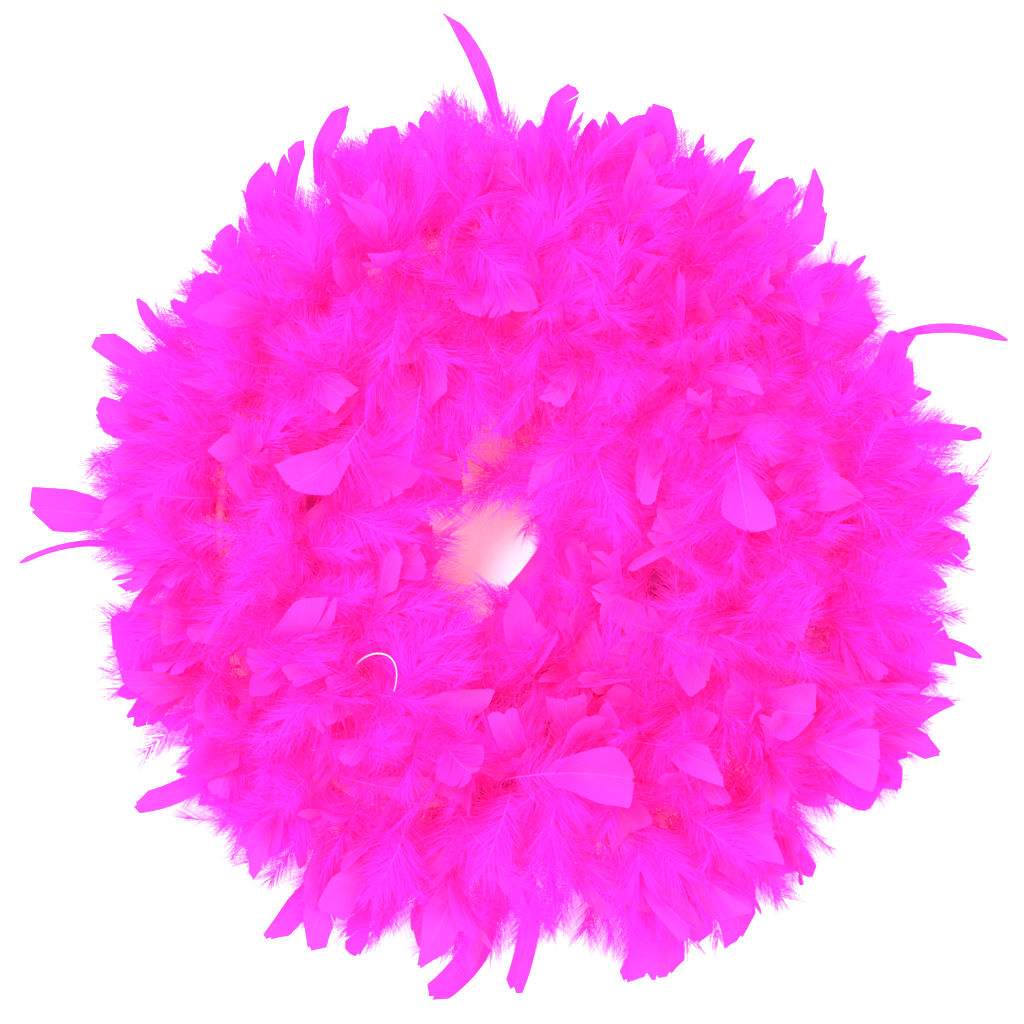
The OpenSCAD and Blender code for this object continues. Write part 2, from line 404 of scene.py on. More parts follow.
@dataclass(frozen=True)
class Room:
    """Where feathers may lie: over the surface, under the top of the pile, out of the hole."""

    hole: tuple[float, float] = (-0.005, -0.022)
    hole_r: float = 0.015
    top: float = 0.103
    soft: float = 0.0025

    def in_hole(self, points: Array, margin: float = 0.0) -> NDArray[np.bool_]:
        """Marks the points that lie over the hole in the coil's middle."""
        return np.hypot(points[..., 0] - self.hole[0],
                        points[..., 1] - self.hole[1]) < self.hole_r + margin

    def fit(self, points: Array) -> Array:
        """Moves points under the surface or over the pile's top just inside them."""
        p = points.copy()
        z = p[..., 2]
        z = 0.5 * (z + np.sqrt(z * z + 4 * (self.soft * 0.5) ** 2)) + 0.0002
        under = self.top - z
        z = self.top - 0.5 * (under + np.sqrt(under * under + 4 * self.soft ** 2))
        p[..., 2] = z
        return p


# ---------------------------------------------------------------- feathers

@dataclass
class Feathers:
    """A batch of feathers, one row of each array to a feather."""

    root: Array       # (n, 3) where the quill is lashed
    aim: Array        # (n, 3) the way it leaves the cord
    bend: Array       # (n, 3) how it curves away from that
    hook: Array       # (n, 3) how its last third curls on top of that
    side: Array       # (n, 3) the way its barbs lie
    twist: Array      # (n,) how far the vane turns round the quill by its tip, in radians
    length: Array     # (n,)
    width: Array      # (n,) half the vane's width, 0 for a plume with no vane
    cut: Array        # (n, 2) how steeply each side of the tip slopes back, 0 for square
    cup: Array        # (n,) how far the vane's edges curl
    rng: np.random.Generator

    def __len__(self) -> int:
        """How many feathers there are."""
        return len(self.root)

    def pick(self, keep: NDArray[np.bool_]) -> "Feathers":
        """The feathers that keep marks."""
        parts = {k: getattr(self, k)[keep] for k in
                 ("root", "aim", "bend", "hook", "side", "twist", "length", "width", "cut", "cup")}
        return Feathers(rng=self.rng, **parts)

    def plus(self, more: "Feathers") -> "Feathers":
        """These feathers and some more."""
        parts = {k: np.concatenate([getattr(self, k), getattr(more, k)]) for k in
                 ("root", "aim", "bend", "hook", "side", "twist", "length", "width", "cut", "cup")}
        return Feathers(rng=self.rng, **parts)

    @classmethod
    def spanning(cls, root: Array, tip: Array, shape: "Shape", rng: np.random.Generator) -> "Feathers":
        """Makes one feather from its root to its tip.

        Args:
            root: where its quill starts.
            tip: where it ends.
            shape: how it differs from a plain straight blade.
            rng: for its barbs.

        Returns:
            A batch of one.
        """
        length = float(np.linalg.norm(tip - root))
        ahead = (tip - root) / length
        flat = unit(np.cross(UP, ahead))
        bend = -2 * shape.bow * flat - 2 * shape.lift * UP
        hook = -shape.hook * flat
        rows = [root, ahead - bend / 2 - hook / 3, bend, hook, flat, shape.twist, length,
                shape.half, shape.cut, 0.5]
        return cls(*(np.asarray(row, float)[None] for row in rows), rng)

    def line(self, t: Array) -> tuple[Array, Array, Array, Array]:
        """The quill's line.

        Args:
            t: (n, ...) places along it, from 0 to 1.

        Returns:
            Points, and the unit vectors along the quill, across the vane and out of its face.
        """
        grow = (slice(None),) + (None,) * (t.ndim - 1)
        aim, bend, hook, side = (v[grow] for v in (self.aim, self.bend, self.hook, self.side))
        tt = t[..., None]
        p = self.root[grow] + self.length[grow][..., None] * (
            tt * aim + tt ** 2 / 2 * bend + tt ** 3 / 3 * hook)
        along = unit(aim + tt * bend + tt ** 2 * hook)
        across = unit(side - dot(side, along) * along)
        face = np.cross(along, across)
        turn = (self.twist[grow] * t ** 2)[..., None]
        return (p, along, np.cos(turn) * across + np.sin(turn) * face,
                np.cos(turn) * face - np.sin(turn) * across)


@dataclass(frozen=True)
class Shape:
    """How one long feather differs from a plain straight blade."""

    half: float                 # half the vane's width
    bow: float = 0.0            # sideways curve, as a share of the length
    hook: float = 0.0           # how far the tip curls back on top of that
    lift: float = 0.1           # how far its middle arches up
    twist: float = 0.0
    cut: tuple[float, float] = (0.4, 0.4)
    start: float = 0.45


@dataclass(frozen=True)
class VaneCut:
    """The vane: two rows of barbs that lean to the tip, split into a few locks and cut off."""

    start: float = 0.43        # share of the length where the vane begins
    lean: float = 40.0         # angle of the barbs from the quill
    locks: int = 4             # a side
    rows: int = 4              # points along a lock
    columns: int = 6           # points along a barb
    split_share: float = 0.12  # locks that have come apart

    def add(self, surface: Surface, f: Feathers, room: Room, slot: int = 0) -> None:
        """Adds the vanes of every feather that has one.

        Args:
            surface: the mesh to add to.
            f: the feathers.
            room: the space they must keep to.
            slot: the vane's material slot.
        """
        f = f.pick(f.width > 0)
        n = len(f)
        if not n:
            return
        rng = f.rng
        edges = np.linspace(0, 1, self.locks + 1)
        low, high = edges[:-1], edges[1:]
        mid = ((low + high) / 2)[None, :, None, None]
        base = low[:, None] + (high - low)[:, None] * np.linspace(0, 1, self.rows)
        u = np.linspace(0, 1, self.columns)[None, None, None, :]
        length = f.length[:, None, None, None]
        for hand, cut in ((-1.0, f.cut[:, 0]), (1.0, f.cut[:, 1])):
            open_lock = rng.uniform(0, 1, (n, self.locks, 1, 1)) < self.split_share
            split = np.where(open_lock, rng.uniform(0.1, 0.6, open_lock.shape), 0.0)
            lift = np.where(open_lock, rng.normal(0, 1.4 * MM, open_lock.shape), 0.0)
            s = mid + (base[None, :, :, None] - mid) * (1 - split * u ** 2)
            t = self.start + (1 - self.start) * s
            p, along, across, face = f.line(t)
            lean = np.radians(self.lean + rng.normal(0, 4, (n, 1, 1, 1)))
            wide = f.width[:, None, None, None] / np.sin(lean)
            wide = wide * (0.5 + 0.5 * smooth(s / 0.4))
            slope = np.cos(lean) + cut[:, None, None, None] * np.sin(lean)
            barb = np.minimum(wide, (1.03 - t) * length / np.maximum(slope, 0.3))
            barb = np.maximum(barb, 0.8 * MM)
            run = u * barb
            curl = f.cup[:, None, None, None] * (run * np.sin(lean)) ** 2 / 0.016
            p = (p + hand * (run * np.sin(lean))[..., None] * across
                 + (run * np.cos(lean))[..., None] * along
                 + (curl + lift * u ** 2)[..., None] * face)
            lay = np.stack([run / MM, (t * length) / MM + 0 * run], -1)
            g = n * self.locks
            surface.grid(room.fit(p).reshape(g, self.rows, self.columns, 3),
                         lay.reshape(g, self.rows, self.columns, 2), slot)


@dataclass(frozen=True)
class DownSkirt:
    """Loose barbs along the lower quill of a feather, or all along a plume."""

    pitch: float = 0.24 * MM     # between barbs on one side, drawn coarser than life
    reach: float = 25 * MM
    short: float = 0.55          # of that where a barb would close the hole
    width: float = 0.25 * MM
    start: float = 0.08
    stop: float = 0.74
    stations: int = 3

    def add(self, surface: Surface, f: Feathers, room: Room, slot: int = 0) -> None:
        """Adds the barbs of every feather.

        Args:
            surface: the mesh to add to.
            f: the feathers.
            room: the space they must keep to.
            slot: the down's material slot.
        """
        n = len(f)
        if not n:
            return
        rng = f.rng
        per = int((self.stop - self.start) * float(f.length.mean()) / self.pitch)
        t = self.start + (self.stop - self.start) * rng.uniform(0, 1, (n, 2 * per))
        hand = np.where(np.arange(2 * per) % 2 == 0, 1.0, -1.0)[None, :, None]
        p, along, across, face = f.line(t)
        s = ((t - self.start) / (self.stop - self.start))[..., None]
        lean = np.radians(66 - 38 * s + rng.normal(0, 8, t.shape)[..., None])
        aim = unit(hand * np.sin(lean) * across + np.cos(lean) * along
                   + rng.normal(0, 0.30, t.shape)[..., None] * face)
        reach = self.reach * (0.62 + 0.38 * np.sin(np.pi * (0.15 + 0.7 * s)))
        reach = reach * rng.uniform(0.55, 1.15, t.shape)[..., None]
        wave = (rng.normal(0, 0.22, (*t.shape, 3)) + rng.normal(0, 0.35, (n, 1, 3))
                + 0.45 * along - 0.1 * UP)
        over_hole = room.in_hole(p + reach * (aim + 0.5 * wave))[..., None]
        reach = np.where(over_hole, self.short * reach, reach)
        flat = unit(np.cross(aim, face + rng.normal(0, 0.5, (*t.shape, 3))))
        rows = []
        for k in range(self.stations + 1):
            u = k / self.stations
            q = p + reach * (u * aim + 0.5 * u * u * wave)
            half = 0.5 * self.width * (1.0 - 0.7 * u)
            rows.append(q if k == self.stations else np.stack([q - half * flat, q + half * flat], -2))
        strips = np.concatenate([*rows[:-1], rows[-1][..., None, :]], axis=-2)
        m = 2 * self.stations + 1
        lay = np.zeros((*strips.shape[:-1], 2))
        lay[..., 1] = (np.arange(m) // 2) * self.reach / self.stations / MM
        surface.ribbons(room.fit(strips).reshape(-1, m, 3), lay.reshape(-1, m, 2), slot)


@dataclass(frozen=True)
class QuillShaft:
    """The quill: a slim tapering rod from the lashing to the tip."""

    base_r: float = 0.65 * MM
    tip_r: float = 0.12 * MM
    rings: int = 8
    sides: int = 5

    def add(self, surface: Surface, f: Feathers, room: Room, slot: int = 0) -> None:
        """Adds one rod to each feather.

        Args:
            surface: the mesh to add to.
            f: the feathers.
            room: the space they must keep to.
            slot: the quill's material slot.
        """
        n = len(f)
        if not n:
            return
        t = np.broadcast_to(np.linspace(0, 0.99, self.rings), (n, self.rings))
        p, along, across, face = f.line(t)
        a = np.linspace(0, 2 * np.pi, self.sides, endpoint=False)
        r = (self.base_r + (self.tip_r - self.base_r) * t)[..., None, None]
        ring = (p[..., None, :] + r * (np.cos(a)[:, None] * across[..., None, :]
                                       + np.sin(a)[:, None] * face[..., None, :]))
        lay = np.zeros((*ring.shape[:-1], 2))
        lay[..., 1] = (t * f.length[:, None] / MM)[..., None]
        surface.grid(room.fit(ring), lay, slot, closed=True)


@dataclass(frozen=True)
class Fan:
    """One way that feathers leave the cord: an angle round it and how widely they spread."""

    share: float
    middle: float      # 0 points out of the coil, 90 up, 180 into it
    spread: float
    low: float
    high: float


class Nap(Enum):
    """How feathers fan round the cord, by what lies beside that stretch."""

    RIM = (Fan(0.52, 14, 34, -60, 85), Fan(0.26, 82, 26, 40, 125), Fan(0.22, 152, 24, 110, 215))
    BETWEEN = (Fan(0.34, 38, 30, -35, 90), Fan(0.34, 90, 26, 40, 140), Fan(0.32, 145, 30, 90, 215))
    HOLE = (Fan(0.30, 40, 30, -35, 90), Fan(0.28, 95, 26, 60, 140), Fan(0.42, 160, 30, 110, 225))


@dataclass(frozen=True)
class Stitching:
    """Lashes feathers along a stretch of cord."""

    coil: Coil
    room: Room
    inmost: int = 17             # the first bunch that lies beside the hole, counting from 0
    pitch: float = 1.25 * MM     # cord length to a feather
    length: float = 62 * MM
    vane_half: float = 14.5 * MM
    plume_share: float = 0.64
    rim_r: float = 0.223         # the pile's outline, from the coil's centre
    edge_share: float = 0.18     # feathers that may reach past the outline
    trims: int = 7               # how often a feather that reaches too far is shortened

    def nap(self, i: int) -> Nap:
        """The fan that bunch i has, counting from 0."""
        if i < self.coil.first_count:
            return Nap.RIM
        return Nap.HOLE if i >= self.inmost else Nap.BETWEEN

    def feathers(self, i: int, seed: int) -> tuple[Feathers, Array]:
        """Places the feathers of one bunch.

        Args:
            i: the bunch, counting from 0.
            seed: what its random draws start from.

        Returns:
            The feathers, and the angle round the coil of each.
        """
        rng = np.random.default_rng(seed)
        coil = self.coil
        a0, a1 = coil.boundary(i), coil.boundary(i + 1)
        run = math.radians(a1 - a0) * float(coil.radius(np.array((a0 + a1) / 2)))
        n = int(run / self.pitch)
        a = a0 + (a1 - a0) * (np.arange(n) + rng.uniform(0, 1, n)) / n
        fans = self.nap(i).value
        which = rng.choice(len(fans), n, p=[fan.share for fan in fans])
        table = np.array([[fan.middle, fan.spread, fan.low, fan.high] for fan in fans])[which]
        psi = np.radians(np.clip(rng.normal(table[:, 0], table[:, 1]), table[:, 2], table[:, 3]))
        out, ahead = coil.outwards(a), coil.forwards(a)
        tip = rng.normal(0, 0.34, n)[:, None]
        aim = unit(np.cos(psi)[:, None] * out + np.sin(psi)[:, None] * UP + tip * ahead)
        rise = np.maximum(aim[:, 2:3], 0)
        away = np.sign(np.cos(psi))[:, None] * out
        bend = (-0.85 * rise * UP + 0.45 * rise * away
                + rng.normal(0, 0.35, n)[:, None] * ahead + rng.normal(0, 0.16, (n, 3)))
        roll = np.radians(rng.normal(0, 38, n))[:, None]
        across = unit(ahead - dot(ahead, aim) * aim)
        side = np.cos(roll) * across + np.sin(roll) * np.cross(aim, across)
        plume = rng.uniform(0, 1, n) < self.plume_share
        flat_out = (np.cos(psi) > 0.6) & (i < coil.first_count)
        slim = rng.uniform(0.24, 0.9, n)
        width = np.where(flat_out, slim, 0.4 + 0.7 * rng.uniform(0, 1, n) ** 1.5) * self.vane_half
        width = np.where(plume, 0.0, width)
        length = self.length * rng.uniform(0.76, 1.14, n) * np.where(plume, 0.97, 1.0)
        if i < coil.first_count:
            length = length + coil.stepped(a) * coil.pitch * np.maximum(np.cos(psi), 0) * 0.9
        root = coil.point(a) + 0.0035 * aim
        hook = rng.normal(0, 0.26, (n, 3))
        cut = rng.uniform(-0.25, 0.5, n) + np.where(flat_out, 1.6 * (1 - slim), 0.0)
        cut = cut[:, None] + rng.normal(0, 0.6, n)[:, None] * (-1, 1)
        f = Feathers(root, aim, bend, hook, side, rng.normal(0, 0.45, n), length, width,
                     cut, rng.normal(0, 0.55, n), rng)
        free = rng.uniform(0, 1, n) < self.edge_share
        for _ in range(self.trims):
            p = f.line(np.broadcast_to(np.linspace(0.3, 1, 6), (n, 6)))[0]
            past = np.hypot(p[..., 0] - coil.centre[0], p[..., 1] - coil.centre[1]) > self.rim_r
            far = self.room.in_hole(p, 3 * MM).any(axis=1)
            f.length = np.where(far, 0.85 * f.length, f.length)
            f.length = np.where(past.any(axis=1) & ~free, 0.94 * f.length, f.length)
        f.width = np.where(self.room.in_hole(p, 14 * MM).any(axis=1), 0.0, f.width)
        return f, a


# ---------------------------------------------------------------- links and pieces

@dataclass(frozen=True)
class Joint:
    """A stand-in hinge between two bunches."""

    before: int          # the bunch that starts at it, counting from 0
    outer: str           # the body on the side of smaller angles
    inner: str
    half: float = 0.026  # the cord bends over this much to each side

    def blend(self, piece: bpy.types.Object, coil: Coil) -> None:
        """Bakes the piece's placement into its mesh; the piece does not bend."""
        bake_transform(piece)


JOINTS = (Joint(1, "outer_end", "outer_mid"), Joint(2, "outer_mid", "outer_tail"),
          Joint(3, "outer_tail", "coil"), Joint(24, "coil", "inner_tail", 0.015),
          Joint(25, "inner_tail", "inner_end", 0.015))


def body_of_bunch(i: int) -> str:
    """The body that bunch i belongs to, counting from 0."""
    return {0: "outer_end", 1: "outer_mid", 2: "outer_tail",
            24: "inner_tail", 25: "inner_end"}.get(i, "coil")


@dataclass
class Bunches:
    """All the feathers, in pieces that ride with the cord or lie unbent across its joints."""

    coil: Coil
    stitching: Stitching
    vane: VaneCut = field(default_factory=VaneCut)
    skirt: DownSkirt = field(default_factory=DownSkirt)
    plume: DownSkirt = field(default_factory=lambda: DownSkirt(stop=1.0, reach=19 * MM))
    shaft: QuillShaft = field(default_factory=QuillShaft)

    def dress(self, f: Feathers, label: str, mats: list[bpy.types.Material],
              room: Room) -> list[bpy.types.Object]:
        """Builds the vanes and the down of some feathers.

        Args:
            f: the feathers.
            label: the end of both pieces' names.
            mats: vane, down and quill.
            room: the space they must keep to.

        Returns:
            The two pieces.
        """
        vanes, down = Surface(), Surface()
        self.vane.add(vanes, f, room, 0)
        self.shaft.add(vanes, f, room, 1)
        self.skirt.add(down, f.pick(f.width > 0), room, 0)
        self.plume.add(down, f.pick(f.width <= 0), room, 0)
        return [vanes.build("vanes_" + label, [mats[0], mats[2]]),
                down.build("down_" + label, [mats[1]])]

    def build(self, mats: list[bpy.types.Material]) -> None:
        """Makes every bunch.

        Args:
            mats: vane, down and quill.
        """
        room = self.stitching.room
        for i in range(self.coil.bunches):
            f, a = self.stitching.feathers(i, 1000 + i)
            node = f"feather_bunch_{i + 1:02d}"
            first, last = self.coil.boundary(i), self.coil.boundary(i + 1)
            for tip in (t for t in RIM_TIPS if first <= t.angle < last):
                f, a = f.plus(tip.feather(self.coil, f.rng)), np.append(a, tip.angle)
            middle = (first + last) / 2
            for part, keep, edge in (("a", a < middle, i), ("b", a >= middle, i + 1)):
                joint = next((j for j in JOINTS if j.before == edge), None)
                for piece in self.dress(f.pick(keep), f"{i + 1:02d}{part}", mats, room):
                    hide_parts(node)
                    if joint:
                        joint.blend(piece, self.coil)
                    else:
                        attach(piece, body_of_bunch(i))
            LOG.info("%s: %d feathers", node, len(f))


# The long feathers that stand clear of the pile, by the frame's blade that each stands for.
# Their bows, hooks and cuts were tried until the outline looked right
STRAYS = {
    "tall_crest_feather": Shape(5 * MM, 0.30, -1.1, 0.2, 1.1, (2.4, 3.4), 0.42),
    "top_left_hook_feather": Shape(6 * MM, 0.25, 0.9, 0.2, 0.7, (1.6, 1.0), 0.5),
    "left_fork_feather": Shape(7 * MM, -0.2, 0.5, 0.2, -0.4, (1.2, 0.2), 0.5),
    "left_blade_feather": Shape(11 * MM, 0.15, -0.3, 0.15, 0.2, (0.1, 1.2), 0.42),
    "left_whisker_feather": Shape(1.8 * MM, -0.3, -0.5, 0.1, 0.5, (3.5, 3.5), 0.4),
    "lower_left_feather": Shape(6 * MM, 0.25, 0.4, 0.1, 0.7, (1.4, 0.5), 0.45),
    "foot_left_feather": Shape(7 * MM, -0.25, 0.5, 0.1, -0.8, (0.4, 1.2), 0.45),
    "foot_curl_feather": Shape(8 * MM, 0.3, 0.7, 0.1, 1.0, (0.2, 0.9), 0.45),
    "foot_right_feather": Shape(8 * MM, -0.25, 0.3, 0.1, -0.5, (0.1, 1.0), 0.42),
    "lower_right_feather": Shape(7 * MM, 0.25, 0.5, 0.1, 0.6, (0.7, 1.2), 0.45),
    "right_point_feather": Shape(5 * MM, 0.2, -0.3, 0.1, 0.4, (2.5, 1.8), 0.45),
    "right_whisker_feather": Shape(2.6 * MM, 0.40, 0.5, 0.1, 0.3, (3.5, 3.5), 0.4),
    "top_right_curl_feather": Shape(5 * MM, -0.45, -0.9, 0.2, -0.5, (1.6, 2.4), 0.45),
    "crown_blade_feather": Shape(13 * MM, 0.2, 0.2, 0.35, 0.2, (0.0, 0.9), 0.3),
    "crest_blade_feather": Shape(13 * MM, -0.2, 0.3, 0.35, -0.3, (0.6, 0.1), 0.3),
    "lower_blade_feather": Shape(14 * MM, 0.15, 0.1, 0.35, 0.1, (0.1, 0.5), 0.3),
}


@dataclass(frozen=True)
class RimTip:
    """One more feather with its own place in the outline, lashed in among its bunch's others."""

    angle: float                # where on the coil its quill starts
    tip: tuple[float, float, float]     # in millimetres
    shape: Shape

    def feather(self, coil: Coil, rng: np.random.Generator) -> Feathers:
        """Makes the feather."""
        root = coil.point(np.array(self.angle), out=4 * MM)
        return Feathers.spanning(root, np.array(self.tip) * MM, self.shape, rng)


# Anticlockwise from the right, each placed one by one. The last one crosses the hole
RIM_TIPS = (
    RimTip(16, (237, 38, 46), Shape(4 * MM, 0.1, 0.4, 0.1, 0.2, (2.0, 1.2))),
    RimTip(34, (180, 118, 52), Shape(2.6 * MM, -0.12, 0.2, 0.1, 0.2, (3.0, 3.0))),
    RimTip(38, (178, 129, 50), Shape(2.2 * MM, -0.10, 0.2, 0.1, 0.2, (3.0, 3.0))),
    RimTip(62, (138, 166, 66), Shape(6 * MM, 0.9, -2.0, 0.2, 0.2, (0.6, 1.2))),
    RimTip(64, (96, 189, 60), Shape(3.2 * MM, 0.0, 0.0, 0.1, 0.9, (3.0, 2.5))),
    RimTip(74, (70, 203, 56), Shape(9 * MM, -0.25, -0.7, 0.2, -0.4, (0.3, 0.8))),
    RimTip(84, (29, 214, 56), Shape(7 * MM, 0.08, 0.5, 0.1, 0.3, (0.6, 1.4))),
    RimTip(112, (-51, 189, 54), Shape(3 * MM, 0.15, 0.3, 0.1, 0.2, (2.0, 2.0))),
    RimTip(127, (-106, 187, 50), Shape(6 * MM, 0.3, 0.9, 0.1, 0.3, (1.0, 1.6))),
    RimTip(131, (-124, 176, 46), Shape(7 * MM, 0.25, 0.8, 0.1, 0.2, (0.9, 1.4))),
    RimTip(137, (-137, 148, 52), Shape(2.4 * MM, 0.1, 0.2, 0.1, 0.3, (3.0, 3.0))),
    RimTip(149, (-190, 108, 40), Shape(3.4 * MM, 0.15, 0.6, 0.1, 0.2, (1.8, 2.6))),
    RimTip(166, (-210, 50, 40), Shape(9 * MM, 0.1, -0.3, 0.1, 0.1, (0.1, 1.0))),
    RimTip(222, (-159, -145, 26), Shape(5 * MM, 0.2, 0.5, 0.1, 0.3, (1.5, 0.8))),
    RimTip(249, (-79, -227, 20), Shape(6.5 * MM, -0.2, -0.4, 0.1, 0.3, (0.3, 1.5))),
    RimTip(268, (1, -244, 22), Shape(5.5 * MM, 0.15, 0.3, 0.1, 0.4, (0.9, 0.3))),
    RimTip(-74, (59, -240, 22), Shape(6.5 * MM, 0.3, 0.8, 0.1, 0.4, (0.4, 0.9))),
    RimTip(-61, (117, -217, 26), Shape(10 * MM, 0.1, 0.3, 0.1, 0.1, (-0.2, 1.2))),
    RimTip(-53, (152, -186, 30), Shape(6 * MM, 0.1, 0.3, 0.1, 0.2, (1.8, 0.8))),
    RimTip(-23, (239, -74, 34), Shape(3 * MM, 0.25, 0.5, 0.1, 0.3, (2.2, 3.0))),
    RimTip(-8, (231, -20, 40), Shape(8 * MM, 0.1, 0.4, 0.1, 0.1, (0.8, 0.3))),
    RimTip(774, (2, -40, 46), Shape(5 * MM, 0.1, 0.2, 0.3, 0.2, (0.2, 0.9))),
)


@dataclass
class StrayFeathers:
    """The long feathers that give the outline its named tips."""

    coil: Coil
    room: Room
    home: dict[str, str]        # the body that each node belongs to
    seed: int = 5000
    locks: int = 6              # a stray vane is long, so it has more locks and points
    rows: int = 5
    columns: int = 7
    down_reach: float = 24 * MM
    bare_angle: float = 578.0   # where the stripped quill leaves the cord
    bare: tuple[tuple[float, float, float], ...] = ((-76, -66, 96), (-50, -62, 98), (-58, -88, 84))

    def ends(self, node: str) -> tuple[Array, Array]:
        """Where the frame's blade starts, beside the cord, and where its tip is.

        Args:
            node: the frame's node.

        Returns:
            The two points.
        """
        mesh = bpy.data.objects[node].data
        points = np.array([v.co for v in mesh.vertices])
        cord = self.coil.point(np.arange(self.coil.start, self.coil.end, 2.0))
        away = np.linalg.norm(points[:, None] - cord[None], axis=-1).min(axis=1)
        root = points[away < away.min() + 2 * MM].mean(axis=0)
        return root, points[np.linalg.norm(points - root, axis=1).argmax()]

    def build(self, mats: list[bpy.types.Material]) -> None:
        """Makes every stray feather.

        Args:
            mats: vane, down and quill.
        """
        for k, (node, shape) in enumerate(STRAYS.items()):
            rng = np.random.default_rng(self.seed + k)
            f = Feathers.spanning(*self.ends(node), shape, rng)
            mesh = Surface()
            vane = VaneCut(start=shape.start, locks=self.locks, rows=self.rows,
                           columns=self.columns, split_share=0.0)
            vane.add(mesh, f, self.room, 0)
            QuillShaft(base_r=0.55 * MM, rings=14).add(mesh, f, self.room, 1)
            reach = min(self.down_reach, 2.2 * shape.half)
            DownSkirt(stop=shape.start + 0.2, reach=reach).add(mesh, f, self.room, 2)
            piece = mesh.build("stray_" + node.removesuffix("_feather"),
                               [mats[0], mats[2], mats[1]])
            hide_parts(node)
            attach(piece, self.home[node])
            LOG.info("%s: %.0f mm long", piece.name, f.length[0] / MM)

    def bare_quill(self, mat: bpy.types.Material) -> None:
        """Makes the stripped quill that curls out of the pile.

        Args:
            mat: its material.
        """
        u = np.linspace(0, 1, 24)[:, None]
        bends = [self.coil.point(np.array(self.bare_angle))] + [np.array(p) * MM for p in self.bare]
        weights = ((1 - u) ** 3, 3 * u * (1 - u) ** 2, 3 * u * u * (1 - u), u ** 3)
        path = sum(w * p for w, p in zip(weights, bends))
        mesh = Surface()
        tube(mesh, path, np.linspace(0.5, 0.2, len(path)) * MM, ROUND)
        piece = mesh.build("stripped_quill", [mat])
        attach(piece, body_of_bunch(self.coil.first_count + 8))
        LOG.info("%s stands in the pile", piece.name)


# ---------------------------------------------------------------- cord and threads

def tube(surface: Surface, path: Array, radius: Array | float, sides: int, slot: int = 0,
         flutes: int = 0, pitch: float = 0.014) -> None:
    """Adds a tube along a path.

    Args:
        surface: the mesh to add to.
        path: (rings, 3), its centreline.
        radius: its radius, or one for each ring.
        sides: points round it.
        slot: its material slot.
        flutes: plies that show as ridges round it, 0 for a plain tube.
        pitch: the length in which the plies go once round.
    """
    along = unit(np.gradient(path, axis=0))
    start = UP if abs(along[0, 2]) < 0.9 else np.array([1.0, 0.0, 0.0])
    across = [unit(np.cross(along[0], start))]
    for d in along[1:]:
        across.append(unit(across[-1] - np.dot(across[-1], d) * d))
    across = np.array(across)
    face = np.cross(along, across)
    run = np.concatenate([[0], np.cumsum(np.linalg.norm(np.diff(path, axis=0), axis=1))])
    a = np.linspace(0, 2 * np.pi, sides, endpoint=False)[None, :]
    r = np.broadcast_to(radius, run.shape)[:, None] * np.ones_like(a)
    if flutes:
        turn = 2 * np.pi * run[:, None] / pitch
        r = r * (0.80 + 0.22 * np.abs(np.cos(flutes / 2 * (a - turn))))
    ring = path[:, None] + (r * np.cos(a))[..., None] * across[:, None] \
        + (r * np.sin(a))[..., None] * face[:, None]
    lay = np.stack([a * 0 + r * a / MM, run[:, None] / MM + 0 * r], -1)
    surface.grid(ring[None], lay[None], slot, closed=True)


@dataclass(frozen=True)
class CordLength:
    """One modelled length of the core cord, which lies unbent across one joint or lies still in the
    coil.
    """

    name: str
    first: float                # angles round the coil
    last: float
    joint: Joint | None
    node: str


